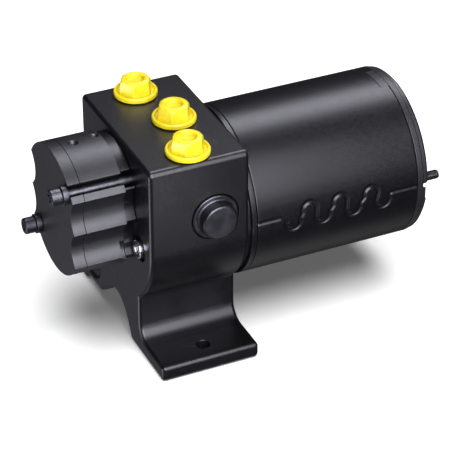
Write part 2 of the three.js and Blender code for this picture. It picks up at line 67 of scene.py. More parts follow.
BLOCK_SIDE, BLOCK_TOP, BLOCK_ROUND = 42.5, 110.5, 3.0
TOE, FOOT, LEG = 54.5, 8.0, 26.0  # half width over the feet, their thickness, half width of the leg
FOOT_HOLE, FOOT_HOLE_RADIUS = (1.0, 44.0), 3.5
AXIS_Z = 65.4
IDLER_Z = 87.4
PUMP_Z = 76.4
PUMP_END, COVER_IN, PLATE_OUT = -57.5, -51.3, -30.5  # ends of the pump's cover and body
PUMP_RADIUS = 32.8
PUMP_HOLE_Y = 8.5  # place of the two holes between the pump and the block
SCALLOPS = ((36.2, 9.5, 12.1), (34.2, -9.0, 11.4))  # y, rise and radius of each hollow
SCREW_Y, SCREW_RISE = 19.5, 19.1
SCREW_SHANK, SCREW_END = 2.5, -66.0  # radius of the shank, outer end of the head
TIE_Y, TIE_RISE = 36.0, 2.1
TIE_RADIUS, TIE_END = 2.4, 132.5
TIE_HOLE = TIE_RADIUS + 0.3
VALVE_X, VALVE_Z, VALVE_BORE = 8.5, 79.0, 6.0
SPOT_FACE, SPOT_DEPTH = 12.2, 1.5  # the flat round each end of the cross bore
CAN_RADIUS, CAN_WALL = 42.7, 3.5
CAN_INNER = CAN_RADIUS - CAN_WALL
CAN_FRONT, CAN_REAR, CAP_END = 30.8, 118.0, 124.4
BEARING_RADIUS = 10.15  # bore of the bell and the cap
MOTOR_SIDES = 160  # steps round the motor's large turned pieces
CHECK_LIFT, CHECK_SPRING = 2.2, (26.6, 33.0)  # travel, and both ends of the spring at rest
BRUSH_LIFT, BRUSH_SPRING = 4.0, (24.3, 33.6)
BRUSH_X = 100.2
GALLERY_Y, GALLERY_Z = -29.0, 62.0
PORT_BORE, DRILLING = 6.6, 2.5  # radii
PORT_FLOOR = 95.0
# The x and y of each port, and the x of the drilling below it.
PORTS = {"front": (-0.7, -31.6, 3.1), "middle": (5.7, -0.9, 7.0), "rear": (-1.3, 29.8, 2.8)}

# Names and signs of the pieces that come in pairs.
SIDES = (("front", -1), ("rear", 1))
ENDS = (("upper", 1), ("lower", -1))
ON_AXIS = (0, 0, AXIS_Z)
AT_PUMP = (0, 0, PUMP_Z)
AT_VALVE = (VALVE_X, 0, VALVE_Z)
AT_GALLERY = (0, GALLERY_Y, GALLERY_Z)

# From the unit's own millimetres to the frame's metres, found from the block's pump face.
low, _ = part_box("valve_block")
TO_FRAME = Matrix.Translation((low.x - PUMP_FACE * MM, 0, 0)) @ Matrix.Scale(MM, 4)

# Local x is the axis that a shape is turned about or extruded along.
TURN = {
    "x": Matrix.Identity(4),
    "y": Matrix(((0, 0, 1, 0), (1, 0, 0, 0), (0, 1, 0, 0), (0, 0, 0, 1))),
    "z": Matrix(((0, 1, 0, 0), (0, 0, 1, 0), (1, 0, 0, 0), (0, 0, 0, 1))),
}


def screw_spot(sign):
    """Place of the upper (1) or lower (-1) long screw of the pump."""
    return (0, -sign * SCREW_Y, PUMP_Z + sign * SCREW_RISE)


def tie_spot(sign):
    """Place of the front (-1) or rear (1) tie rod of the motor."""
    return (0, sign * TIE_Y, AXIS_Z - sign * TIE_RISE)


# Outlines -------------------------------------------------------------------------------------
def arc(centre, radius, start, end, step=3.0):
    """Points on an arc, with start and end in degrees."""
    count = max(2, math.ceil(abs(end - start) / step))
    angles = np.radians(np.linspace(start, end, count + 1))
    return [(centre[0] + radius * math.cos(a), centre[1] + radius * math.sin(a)) for a in angles]


def bezier(a, b, c, d, count=14):
    """Points on a cubic curve after its first point."""
    points = []
    for i in range(1, count + 1):
        t = i / count
        w = ((1 - t) ** 3, 3 * t * (1 - t) ** 2, 3 * t * t * (1 - t), t ** 3)
        points.append(tuple(sum(k * p[j] for k, p in zip(w, (a, b, c, d))) for j in (0, 1)))
    return points


def rounded(points, radius, closed=False, steps=3):
    """The same line with each corner turned into a small curve."""
    straight, share = math.radians(87), 0.42
    points = [Vector(p) for p in points]
    count = len(points)
    result = []
    for i, corner in enumerate(points):
        if not closed and i in (0, count - 1):
            result.append(corner)
            continue
        back, on = points[i - 1] - corner, points[(i + 1) % count] - corner
        if back.length < 1e-6 or on.length < 1e-6:
            continue
        half = back.angle(on) / 2
        if half > straight:
            result.append(corner)
            continue
        reach = min(radius / math.tan(half), share * back.length, share * on.length)
        first, last = corner + back.normalized() * reach, corner + on.normalized() * reach
        for k in range(steps + 1):
            t = k / steps
            result.append(first * (1 - t) ** 2 + corner * 2 * t * (1 - t) + last * t * t)
    return [tuple(p) for p in result]


def polygon(sides, across_flats, corner=0.0):
    """A regular outline with a corner on the first axis."""
    radius = across_flats / 2 / math.cos(math.pi / sides)
    angles = [2 * math.pi * i / sides for i in range(sides)]
    points = [(radius * math.cos(a), radius * math.sin(a)) for a in angles]
    return rounded(points, corner, closed=True) if corner else points


def scaled(outline, factor):
    """The outline made larger or smaller about its own middle."""
    return [(u * factor, v * factor) for u, v in outline]


# Solids ---------------------------------------------------------------------------------------
def solid(vertices, faces, axis, spot):
    """A closed mesh in the unit's frame from one in local axes."""
    mesh = bpy.data.meshes.new("solid")
    mesh.from_pydata([tuple(v) for v in vertices], [], faces)
    work = bmesh.new()
    work.from_mesh(mesh)
    bmesh.ops.recalc_face_normals(work, faces=work.faces)
    work.to_mesh(mesh)
    work.free()
    mesh.transform(Matrix.Translation(spot) @ TURN[axis])
    obj = bpy.data.objects.new("solid", mesh)
    bpy.context.scene.collection.objects.link(obj)
    return obj


def turned(profile, axis="x", spot=(0, 0, 0), sides=96, closed=False, angles=None, relief=None):
    """A solid of revolution from (distance along the axis, radius) pairs. relief(along, radius,
    angles) is added to the radius, and angles run from local -y towards local z."""
    if angles is None:
        angles = np.linspace(0, 2 * math.pi, sides, endpoint=False)
    vertices, rings = [], []
    for along, radius in profile:
        start = len(vertices)
        if radius < 1e-6:
            vertices.append((along, 0, 0))
            rings.append([start])
            continue
        reach = np.full(len(angles), radius)
        if relief is not None:
            reach = reach + relief(along, radius, angles)
        lengths = np.full(len(angles), along)
        vertices.extend(zip(lengths, -reach * np.cos(angles), reach * np.sin(angles)))
        rings.append(list(range(start, len(vertices))))
    faces = []
    pairs = list(zip(rings, rings[1:])) + ([(rings[-1], rings[0])] if closed else [])
    for one, two in pairs:
        for i in range(len(angles)):
            j = (i + 1) % len(angles)
            corners = [one[i % len(one)], one[j % len(one)], two[j % len(two)], two[i % len(two)]]
            face = list(dict.fromkeys(corners))
            if len(face) > 2:
                faces.append(face)
    return solid(vertices, faces, axis, spot)


def lofted(sections, axis="x", spot=(0, 0, 0)):
    """A solid through outlines with the same number of points, each (distance, outline)."""
    count = len(sections[0][1])
    vertices = [(along, u, v) for along, outline in sections for u, v in outline]
    faces = [list(range(count)), list(range(len(vertices) - count, len(vertices)))]
    for layer in range(len(sections) - 1):
        for i in range(count):
            j = (i + 1) % count
            a, b = layer * count, (layer + 1) * count
            faces.append([a + i, a + j, b + j, b + i])
    return solid(vertices, faces, axis, spot)


def prism(outline, start, end, axis="x", spot=(0, 0, 0)):
    """A solid with the same outline all the way from start to end."""
    return lofted([(start, outline), (end, outline)], axis, spot)


def drill(start, end, radius, axis="x", spot=(0, 0, 0), sides=48):
    """A round cutter."""
    profile = [(start, 0), (start, radius), (end, radius), (end, 0)]
    return turned(profile, axis, spot, sides)


def slab(x, y, z):
    """A box cutter from its three (from, to) spans."""
    outline = [(y[0], z[0]), (y[1], z[0]), (y[1], z[1]), (y[0], z[1])]
    return prism(outline, x[0], x[1])


def bake(obj):
    """Applies every modifier of obj."""
    graph = bpy.context.evaluated_depsgraph_get()
    mesh = bpy.data.meshes.new_from_object(obj.evaluated_get(graph))
    old = obj.data
    obj.modifiers.clear()
    obj.data = mesh
    bpy.data.meshes.remove(old)
    return obj


def combine(obj, tools, operation):
    """Applies one boolean for each tool, in order, and removes the tools."""
    for tool in tools:
        step = obj.modifiers.new("combine", "BOOLEAN")
        step.operation = operation
        step.solver = "EXACT"
        step.object = tool
    bake(obj)
    for tool in tools:
        bpy.data.objects.remove(tool)
    return obj


def cut(obj, tools):
    """Takes the tools away from obj."""
    return combine(obj, tools, "DIFFERENCE")


def join(obj, tools):
    """Makes obj and the tools one solid."""
    return combine(obj, tools, "UNION")


def soften(obj, width, over=40.0, segments=3):
    """Rounds every edge that bends by more than the angle."""
    step = obj.modifiers.new("soften", "BEVEL")
    step.width = width
    step.segments = segments
    step.limit_method = "ANGLE"
    step.angle_limit = math.radians(over)
    step.use_clamp_overlap = False
    return bake(obj)


def keep(obj, node, sharp=38.0, look=None):
    """Makes obj the shown piece for a CAD node of the unit: place, shading, finish and body.
    look names a finish other than the slot's own, for a piece that is darker or glossier."""
    obj.data.transform(TO_FRAME)
    obj.name = node + "_visual"
    obj.data.name = obj.name
    obj.data.shade_smooth()
    obj.data.set_sharp_from_angle(angle=math.radians(sharp))
    step = obj.modifiers.new("flat faces", "WEIGHTED_NORMAL")
    step.keep_sharp = True
    bake(obj)
    obj.data.materials.clear()
    obj.data.materials.append(MATERIALS[look or SLOT_OF[node]])
    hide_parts(node)
    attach(obj, BODY_OF[node])
    return obj


# Materials ------------------------------------------------------------------------------------
class Finish:
    """A material being made: its shader, and short ways to add texture to it."""

    def __init__(self, name, metallic=0.0, ior=1.5):
        self.material = bpy.data.materials.new(name)
        self.material.use_nodes = True
        self.nodes = self.material.node_tree.nodes
        self.links = self.material.node_tree.links
        self.shader = self.nodes["Principled BSDF"]
        self.shader.inputs["Metallic"].default_value = metallic
        self.shader.inputs["IOR"].default_value = ior
        self.place = self.nodes.new("ShaderNodeTexCoord").outputs["Object"]
        self.normal = None

    def stretched(self, scale):
        """The place, scaled along each axis."""
        node = self.nodes.new("ShaderNodeMapping")
        node.inputs["Scale"].default_value = scale
        self.links.new(self.place, node.inputs["Vector"])
        return node.outputs["Vector"]

    def noise(self, size, detail=3.0, stretch=(1, 1, 1)):
        """Noise whose blobs are about size millimetres, longer where stretch is below 1."""
        node = self.nodes.new("ShaderNodeTexNoise")
        node.inputs["Scale"].default_value = 1 / (size * MM)
        node.inputs["Detail"].default_value = detail
        self.links.new(self.stretched(stretch), node.inputs["Vector"])
        return node.outputs["Fac"]

    def cells(self, size):
        """Distance from the middle of cells about size millimetres wide."""
        node = self.nodes.new("ShaderNodeTexVoronoi")
        node.inputs["Scale"].default_value = 1 / (size * MM)
        self.links.new(self.place, node.inputs["Vector"])
        return node.outputs["Distance"]

    def bands(self, size, axis="X", distortion=0.0):
        """Stripes across an axis, one every size millimetres."""
        node = self.nodes.new("ShaderNodeTexWave")
        node.bands_direction = axis
        node.inputs["Scale"].default_value = math.pi / 10 / (size * MM)
        node.inputs["Distortion"].default_value = distortion
        self.links.new(self.place, node.inputs["Vector"])
        return node.outputs["Fac"]

    def rims(self, start=0.53, end=0.6):
        """1 on outer edges and 0 elsewhere, or on inner edges where end is below start."""
        pointiness = self.nodes.new("ShaderNodeNewGeometry").outputs["Pointiness"]
        return self.remap(pointiness, 0, 1, start, end)

    def remap(self, value, low, high, start=0.35, end=0.65):
        """Turns values from start to end into low to high."""
        node = self.nodes.new("ShaderNodeMapRange")
        self.links.new(value, node.inputs["Value"])
        node.inputs["From Min"].default_value = start
        node.inputs["From Max"].default_value = end
        node.inputs["To Min"].default_value = low
        node.inputs["To Max"].default_value = high
        return node.outputs["Result"]

    def multiply(self, one, two):
        """One output times another."""
        node = self.nodes.new("ShaderNodeMath")
        node.operation = "MULTIPLY"
        self.links.new(one, node.inputs[0])
        self.links.new(two, node.inputs[1])
        return node.outputs["Value"]

    def blend(self, factor, one, two):
        """Mixes two colours, each a colour or an output."""
        node = self.nodes.new("ShaderNodeMix")
        node.data_type = "RGBA"
        self.links.new(factor, node.inputs["Factor"])
        for socket, colour in ((node.inputs[6], one), (node.inputs[7], two)):
            if isinstance(colour, tuple):
                socket.default_value = (*colour, 1)
            else:
                self.links.new(colour, socket)
        return node.outputs[2]

    def colour(self, output):
        """Gives the shader its colour."""
        self.links.new(output, self.shader.inputs["Base Color"])

    def roughness(self, output):
        """Gives the shader its roughness."""
        self.links.new(output, self.shader.inputs["Roughness"])

    def relief(self, height, depth):
        """Adds bump of about depth millimetres on top of any before."""
        node = self.nodes.new("ShaderNodeBump")
        node.inputs["Distance"].default_value = depth * MM
        self.links.new(height, node.inputs["Height"])
        if self.normal is not None:
            self.links.new(self.normal, node.inputs["Normal"])
        self.normal = node.outputs["Normal"]
        self.links.new(self.normal, self.shader.inputs["Normal"])


def paint(name, dark, light, rough, grain, depth, gloss=0.5):
    """Satin paint over metal: faint blotches, an uneven sheen, and edges rubbed a little."""
    finish = Finish(name)
    finish.shader.inputs["Specular IOR Level"].default_value = gloss
    blotches = finish.remap(finish.noise(14, 4), 0, 1)
    body = finish.blend(blotches, dark, light)
    wear = finish.remap(finish.noise(3, 4), 0, 1, 0.42, 0.62)
    rubbed = finish.multiply(finish.rims(), wear)
    finish.colour(finish.blend(rubbed, body, (0.02, 0.02, 0.022)))
    finish.roughness(finish.remap(finish.noise(1.6, 4), rough - 0.025, rough + 0.03))
    finish.relief(finish.noise(grain, 2), depth)
    return finish.material


def metal(name, dark, light, rough, stretch):
    """Machined or plated metal with fine marks along the stretched axes."""
    spread = 0.08
    finish = Finish(name, metallic=1.0)
    marks = finish.noise(0.5, 4, stretch)
    finish.colour(finish.blend(finish.remap(finish.noise(6, 4), 0, 1), dark, light))
    finish.roughness(finish.remap(marks, rough - spread, rough + spread))
    finish.relief(marks, 0.01)
    return finish.material


def plastic(name):
    """Moulded yellow plastic: a little depth, fine texture, and painted shade in the hollows, a darker
    and deeper yellow.
    """
    finish = Finish(name, ior=1.48)
    blotches = finish.remap(finish.noise(4, 3), 0, 1)
    body = finish.blend(blotches, (0.66, 0.52, 0.01), (0.74, 0.62, 0.018))
    # Painted shade: inner edges and creases turn a darker, deeper yellow, where shade falls on the plug.
    hollow = finish.rims(0.47, 0.42)
    finish.colour(finish.blend(hollow, body, (0.55, 0.37, 0.004)))
    finish.roughness(finish.remap(finish.noise(1.2, 4), 0.3, 0.4))
    finish.shader.inputs["Subsurface Weight"].default_value = 0.12
    finish.shader.inputs["Subsurface Radius"].default_value = (0.004, 0.003, 0.0008)
    finish.relief(finish.noise(0.6, 2), 0.012)
    return finish.material


def rubber(name):
    """Dull black rubber with a fine grain."""
    finish = Finish(name)
    blotches = finish.remap(finish.noise(2, 4), 0, 1)
    finish.colour(finish.blend(blotches, (0.014, 0.014, 0.014), (0.03, 0.03, 0.03)))
    finish.roughness(finish.remap(finish.noise(0.8, 3), 0.62, 0.8))
    finish.relief(finish.noise(0.4, 3), 0.02)
    return finish.material


def laminations(name):
    """Thin steel sheets stacked along x."""
    finish = Finish(name, metallic=1.0)
    sheets = finish.bands(0.5, "X", 0.4)
    finish.colour(finish.blend(sheets, (0.08, 0.08, 0.085), (0.24, 0.24, 0.25)))
    finish.roughness(finish.remap(finish.noise(2, 3), 0.38, 0.55))
    finish.relief(sheets, 0.04)
    return finish.material


def winding(name):
    """Enamelled copper: wires side by side."""
    finish = Finish(name, metallic=1.0)
    wires = finish.bands(0.8, "DIAGONAL", 1.5)
    finish.colour(finish.blend(wires, (0.42, 0.16, 0.06), (0.78, 0.38, 0.17)))
    finish.roughness(finish.remap(finish.noise(3, 3), 0.26, 0.4))
    finish.relief(wires, 0.08)
    finish.shader.inputs["Coat Weight"].default_value = 0.4
    return finish.material


def bronze(name):
    """Sintered bronze: fine open pores."""
    finish = Finish(name, metallic=1.0)
    pores = finish.remap(finish.cells(0.45), 0, 1, 0.1, 0.4)
    finish.colour(finish.blend(pores, (0.26, 0.17, 0.07), (0.56, 0.4, 0.17)))
    finish.roughness(finish.remap(finish.noise(2, 4), 0.34, 0.5))
    finish.relief(pores, 0.03)
    return finish.material


def grains(name, dark, light, size, rough):
    """A pressed and ground powder, such as ferrite or carbon."""
    finish = Finish(name)
    speckle = finish.remap(finish.cells(size), 0, 1, 0.15, 0.55)
    finish.colour(finish.blend(speckle, dark, light))
    finish.roughness(finish.remap(finish.noise(1.5, 4), rough - 0.08, rough + 0.08))
    finish.relief(speckle, 0.02)
    return finish.material


def board(name):
    """Phenolic board with its cloth weave."""
    finish = Finish(name)
    weave = finish.multiply(finish.bands(0.7, "Y", 0.8), finish.bands(0.7, "Z", 0.8))
    finish.colour(finish.blend(weave, (0.1, 0.04, 0.018), (0.2, 0.09, 0.045)))
    finish.roughness(finish.remap(finish.noise(3, 3), 0.4, 0.55))
    finish.relief(weave, 0.03)
    return finish.material


def make_materials():
    """Every finish by name. cast_paint, pump_paint, cap_paint and turned_copper are looks that
    single pieces of another slot take."""
    made = {
        "black_paint": paint(
            "black_paint", (0.002, 0.002, 0.0025), (0.0032, 0.0032, 0.004), 0.34, 0.7, 0.012),
        "cast_paint": paint(
            "cast_paint", (0.0018, 0.0018, 0.0023), (0.003, 0.003, 0.0038), 0.35, 0.8, 0.03, 0.6),
        "pump_paint": paint(
            "pump_paint", (0.003, 0.003, 0.0038), (0.006, 0.006, 0.0075), 0.43, 0.8, 0.035, 0.75),
        "painted_aluminium": paint(
            "painted_aluminium", (0.016, 0.016, 0.018), (0.024, 0.024, 0.027), 0.4, 0.7, 0.03, 0.8),
        "cap_paint": paint(
            "cap_paint", (0.008, 0.008, 0.0095), (0.012, 0.012, 0.014), 0.42, 0.7, 0.03, 0.6),
        "blackened_steel": metal(
            "blackened_steel", (0.055, 0.055, 0.06), (0.1, 0.1, 0.11), 0.4, (0.3, 1, 1)),
        "bright_steel": metal(
            "bright_steel", (0.66, 0.67, 0.7), (0.85, 0.85, 0.87), 0.2, (1, 1, 1)),
        "ground_steel": metal(
            "ground_steel", (0.5, 0.51, 0.53), (0.68, 0.69, 0.71), 0.24, (1, 0.1, 0.1)),
        "spring_steel": metal(
            "spring_steel", (0.36, 0.37, 0.39), (0.52, 0.53, 0.55), 0.34, (1, 1, 0.2)),
        "turned_copper": metal(
            "turned_copper", (0.62, 0.27, 0.14), (0.8, 0.37, 0.2), 0.28, (0.1, 1, 1)),
        "ferrite": grains("ferrite", (0.035, 0.035, 0.04), (0.09, 0.09, 0.095), 0.6, 0.6),
        "carbon": grains("carbon", (0.016, 0.016, 0.017), (0.05, 0.05, 0.05), 0.35, 0.5),
    }
    single = {
        "lamination_steel": laminations,
        "yellow_plastic": plastic,
        "black_rubber": rubber,
        "copper": winding,
        "bronze": bronze,
        "phenolic": board,
    }
    made.update({name: make(name) for name, make in single.items()})
    return made


# Valve block ----------------------------------------------------------------------------------
def block_outline():
    """The casting's section in y and z: two feet, an arch between them and a round belly."""
    fillet, rear_pad = 8.0, 4
    leg_angle = math.degrees(math.acos(LEG / BLOCK_SIDE))
    points = [(-TOE, 0), (-14.5, 0)]
    points += bezier((-14.5, 0), (-10.5, 9), (-5, 17.2), (3, 17.2))
    points += bezier((3, 17.2), (12, 17.2), (18, 10), (25, rear_pad))
    points += [(42, rear_pad), (44, 0), (TOE, 0), (TOE, FOOT)]
    points += arc((LEG + fillet, FOOT + fillet), fillet, -90, -180, 9)
    points += arc((0, AXIS_Z), BLOCK_SIDE, -leg_angle, 0)
    inset, height = BLOCK_SIDE - BLOCK_ROUND, BLOCK_TOP - BLOCK_ROUND
    points += arc((inset, height), BLOCK_ROUND, 0, 90, 15)
    points += arc((-inset, height), BLOCK_ROUND, 90, 180, 15)
    points += arc((0, AXIS_Z), BLOCK_SIDE, 180, 180 + leg_angle)
    points += arc((-LEG - fillet, FOOT + fillet), fillet, 0, -90, 9)
    points.append((-TOE, FOOT))
    return points


def port_bores():
    """Cutters for each port's bore and for the drilling from it down to the cross bore."""
    tools = []
    for x, y, drilling_x in PORTS.values():
        tools.append(drill(PORT_FLOOR, BLOCK_TOP + 1, PORT_BORE, "z", (x, y, 0)))
        tools.append(drill(VALVE_Z, PORT_FLOOR + 1, DRILLING, "z", (drilling_x, y, 0), 24))
    return tools


def cross_bore():
    """Cutter for the valve bore from side to side, with a spot face at each end."""
    face, floor = BLOCK_SIDE + 1, BLOCK_SIDE - SPOT_DEPTH
    return turned([
        (-face, 0), (-face, SPOT_FACE), (-floor, SPOT_FACE), (-floor, VALVE_BORE),
        (floor, VALVE_BORE), (floor, SPOT_FACE), (face, SPOT_FACE), (face, 0),
    ], "y", AT_VALVE)


def shaft_bore(start, end):
    """Cutter for the shaft's bore, wider at the pump for the seal and at the motor for the coupling."""
    seal, shaft, coupling = 8.2, 4.7, 9
    return turned([
        (start, 0), (start, seal), (-19, seal), (-19, shaft), (16.5, shaft), (16.5, coupling),
        (end, coupling), (end, 0),
    ], "x", ON_AXIS)


def gallery_bore(start):
    """Cutter for the gallery's end, with a recess for the head of its plug."""
    recess, wide, narrow = PUMP_FACE + 1.5, 6.4, 4.2
    return turned([
        (start, 0), (start, wide), (recess, wide), (recess, narrow), (-16, narrow), (-16, 0),
    ], "x", AT_GALLERY)


def valve_block():
    """The casting with its two feet, its bores and its screw holes."""
    block = soften(prism(block_outline(), PUMP_FACE, MOTOR_FACE), 2.0, 30, 4)
    before, after = PUMP_FACE - 1, MOTOR_FACE + 1
    bores = port_bores() + [cross_bore(), shaft_bore(before, after)]
    for sign in (-1, 1):
        foot_hole = (FOOT_HOLE[0], sign * FOOT_HOLE[1], 0)
        bores.append(drill(before, 6, DRILLING, "x", (0, sign * PUMP_HOLE_Y, PUMP_Z), 24))
        bores.append(drill(-1, FOOT + 1, FOOT_HOLE_RADIUS, "z", foot_hole))
        bores.append(drill(before, -12, SCREW_SHANK + PRESS, "x", screw_spot(sign), 24))
        bores.append(drill(12, after, TIE_RADIUS + PRESS, "x", tie_spot(sign), 24))
    bores.append(gallery_bore(before))
    cut(block, bores)
    keep(soften(block, 0.35, 60), "valve_block", look="cast_paint")


def gallery_plug():
    """A bright plug with a hexagon socket, screwed into the end of a drilling."""
    profile = rounded([
        (-26.8, 0), (-26.8, 4.6), (-23.7, 4.6), (-23.7, 3.6), (-23, 3.6), (-23, 4.05),
        (-16.5, 4.05), (-16.5, 0),
    ], 0.4)
    plug = turned(profile, "x", AT_GALLERY, 64)
    cut(plug, [prism(polygon(6, 4), -28, -24.6, "x", AT_GALLERY)])
    keep(soften(plug, 0.15, 50, 2), "gallery_plug")


def port_plug(name, x, y):
    """A moulded shipping plug: rimmed flange, tapered hexagon and a round recess."""
    spot = (x, y, BLOCK_TOP + SEAT)
    profile = rounded([
        (-10, 0), (-10, 5.2), (-9.4, 5.6), (0, 6.3), (0, 10.1), (0.6, 10.8), (2.3, 10.8), (3, 10.3),
        (3, 9.6), (1.5, 9), (1.3, 6), (1.3, 0),
    ], 0.35)
    plug = turned(profile, "z", spot)
    hexagon = polygon(6, 15.2, 1.2)
    tapers = ((0.8, 1), (2, 1), (8, 0.92), (9.6, 0.9))
    head = lofted([(along, scaled(hexagon, taper)) for along, taper in tapers], "z", spot)
    dome = rounded([(0, 0), (0, 10), (7, 8.2), (8.7, 7), (9.34, 5.8), (9.34, 0)], 1.2, steps=5)
    combine(head, [turned(dome, "z", spot)], "INTERSECT")
    join(plug, [head])
    recess = rounded([(7.2, 0), (7.2, 3.8), (8.8, 4.2), (9.5, 4.8), (10.2, 4.9)], 0.5) + [(10.2, 0)]
    cut(plug, [turned(recess, "z", spot, 64), drill(-11, 4, 4.2, "z", spot)])
    return keep(soften(plug, 0.35, 40), "port_plug_" + name, 50)


def side_plug(name, sign):
    """The screwed plug that closes one end of the cross bore."""
    body = VALVE_BORE - PRESS
    profile = rounded([
        (33.4, 0), (33.4, body), (36, body), (36, 4.3), (38, 4.3), (38, body), (41.2, body),
        (41.2, 11.7), (43.3, 11.7), (43.3, 9), (49.2, 9), (49.2, 0),
    ], 1.2, steps=6)
    plug = turned([(sign * along, radius) for along, radius in profile], "y", AT_VALVE)
    keep(plug, "side_plug_" + name, 60)


# Gear pump ------------------------------------------------------------------------------------
def pump_section(radius, start, end):
    """A round slice of the pump's housing."""
    return prism(arc((0, 0), radius, 0, 357), start, end, "x", AT_PUMP)


def hollows(margin):
    """Cutters for the scallops along each side and the open groove of each long screw."""
    start, end = PUMP_END - 1, PUMP_FACE
    half, mouth = 2.8 + margin, 14
    tools = []
    for sign in (-1, 1):
        for y, rise, radius in SCALLOPS:
            spot = (0, sign * y, PUMP_Z - sign * rise)
            tools.append(drill(start, end, radius + margin, "x", spot, 120))
        groove = [(0, -half), (mouth, -half), (mouth, half)] + arc((0, 0), half, 90, 270, 12)
        angle = math.atan2(-sign * SCREW_RISE, sign * SCREW_Y)
        c, s = math.cos(angle), math.sin(angle)
        groove = [(u * c - v * s, u * s + v * c) for u, v in groove]
        tools.append(prism(groove, start, end, "x", screw_spot(-sign)))
    return tools


def pump_holes(start, end, radius):
    """Two holes side by side between the gear chamber and the block."""
    spots = [(0, sign * PUMP_HOLE_Y, PUMP_Z) for sign in (-1, 1)]
    return [drill(start, end, radius, "x", spot, 24) for spot in spots]


def gear_bores(start, end, radius, sides=72):
    """A bore on the drive gear's axis and one on the idler's."""
    return [drill(start, end, radius, "x", (0, 0, z), sides) for z in (AXIS_Z, IDLER_Z)]


def plug_room():
    """Room for the gallery plug's head in the pieces beside it."""
    return drill(PLATE_OUT - 2.5, PUMP_FACE, 6.6, "x", AT_GALLERY)


def dimple(x, angle, radius, depth):
    """A ball that leaves a small round hollow on top of the pump, angle degrees behind its top."""
    reach = PUMP_RADIUS + radius - depth
    turn = math.radians(angle)
    spot = (x, reach * math.sin(turn), PUMP_Z + reach * math.cos(turn))
    steps = [math.pi * i / 16 for i in range(17)]
    ball = [(-radius * math.cos(step), abs(radius * math.sin(step))) for step in steps]
    return turned(ball, "x", spot, 32)


def pump_end_cover():
    """The outer slice of the housing, with blind bores for the two shafts."""
    cover = pump_section(PUMP_RADIUS, PUMP_END, COVER_IN)
    cut(cover, hollows(0) + gear_bores(PUMP_END + 1.6, COVER_IN + 1, 5.1, 48))
    keep(soften(cover, 0.15, 32), "pump_end_cover", look="pump_paint")


def pump_body():
    """The thick slice round the gears, with two small hollows on top."""
    start, end = COVER_IN - 1, PLATE_OUT + 1
    body = pump_section(PUMP_RADIUS, COVER_IN + SEAT, PLATE_OUT - SEAT)
    tools = hollows(0) + gear_bores(start, end, 13.2) + pump_holes(start, end, 3) + [plug_room()]
    tools += [dimple(-45.3, 3, 2.7, 2.4), dimple(-33.5, 7.5, 2.3, 1.8)]
    cut(body, tools)
    keep(soften(body, 0.15, 32), "pump_body", look="pump_paint")


def pump_port_plate():
    """The slice against the block, with a groove for the face seal."""
    start, groove, end = PLATE_OUT - 1, PUMP_FACE - 1.6, PUMP_FACE + 1
    plate = pump_section(PUMP_RADIUS - 1.4, PLATE_OUT, PUMP_FACE - SEAT)
    seal = [(groove, 19.8), (groove, 22.2), (end, 22.2), (end, 19.8)]
    tools = hollows(1.2) + pump_holes(start, end, 2.5)
    tools += [drill(start, end, 5.2, "x", ON_AXIS), turned(seal, "x", AT_PUMP, closed=True), plug_room()]
    cut(plate, tools)
    keep(soften(plate, 0.3, 32), "pump_port_plate")


def pump_screw(name, sign):
    """A socket-head screw with a knurled head."""
    head, shank, end, tip = 4.1, SCREW_SHANK, SCREW_END, -13
    profile = rounded([
        (end, 0), (end, head - 0.45), (end + 0.45, head), (end + 5.2, head), (end + 5.5, head - 0.3),
        (end + 5.5, shank), (tip - 0.5, shank), (tip, shank - 0.5), (tip, 0),
    ], 0.12)

    def knurl(along, radius, angles):
        """A shallow groove on every third step round the head's side."""
        on_side = end + 0.6 < along < end + 5.2 and radius > head - 0.1
        return np.where(np.arange(len(angles)) % 3 == 0, -0.14, 0.0) if on_side else 0 * angles

    spot = screw_spot(sign)
    screw = turned(profile, "x", spot, 108, relief=knurl)
    cut(screw, [prism(polygon(6, 4), end - 1, end + 2.6, "x", spot)])
    keep(screw, "pump_screw_" + name)


def pump_washer(name, sign):
    """The plain washer below a long screw's head."""
    start, end = SCREW_END + 5.65, PUMP_END - SEAT
    inner, outer = SCREW_SHANK + PRESS, 4.9
    ring = rounded([(start, inner), (start, outer), (end, outer), (end, inner)], 0.2, closed=True)
    washer = turned(ring, "x", screw_spot(sign), 64, closed=True)
    keep(washer, "pump_washer_" + name)


# Motor ----------------------------------------------------------------------------------------
def front_bell():
    """The motor's front end: a stepped ring with a bearing seat and a groove for the face seal."""
    face, neck, rear = MOTOR_FACE + SEAT, CAN_RADIUS - 2.2, CAN_FRONT - SEAT
    inner = CAN_INNER - PRESS
    profile = rounded([
        (face, BEARING_RADIUS), (face, neck), (28, neck), (28, CAN_RADIUS), (rear, CAN_RADIUS),
        (rear, inner), (36, inner), (36, 34), (31, 32), (31, 14), (34, 13.4), (34, BEARING_RADIUS),
    ], 0.35, closed=True)
    bell = turned(profile, "x", ON_AXIS, MOTOR_SIDES, closed=True)
    start, floor = 24, MOTOR_FACE + 1.6
    groove = [(start, 23.8), (start, 26.2), (floor, 26.2), (floor, 23.8)]
    tools = [turned(groove, "x", ON_AXIS, closed=True)]
    tools += [drill(start, 38, TIE_HOLE, "x", tie_spot(sign), 32) for sign in (-1, 1)]
    keep(cut(bell, tools), "front_end_bell")


# The can is a rolled sheet. Its two edges meet on the near side in a line of round keys.
SEAM_KEYS = ((49.7, -1), (58.5, 1), (65.7, -1), (75, 1), (82.2, -1), (92, 1), (98.5, -1))
SEAM_RISE, SEAM_START, SEAM_FINISH = 1.85, 3.3, 2.6
KEY_RADIUS, KEY_REACH = 3.9, 2.7


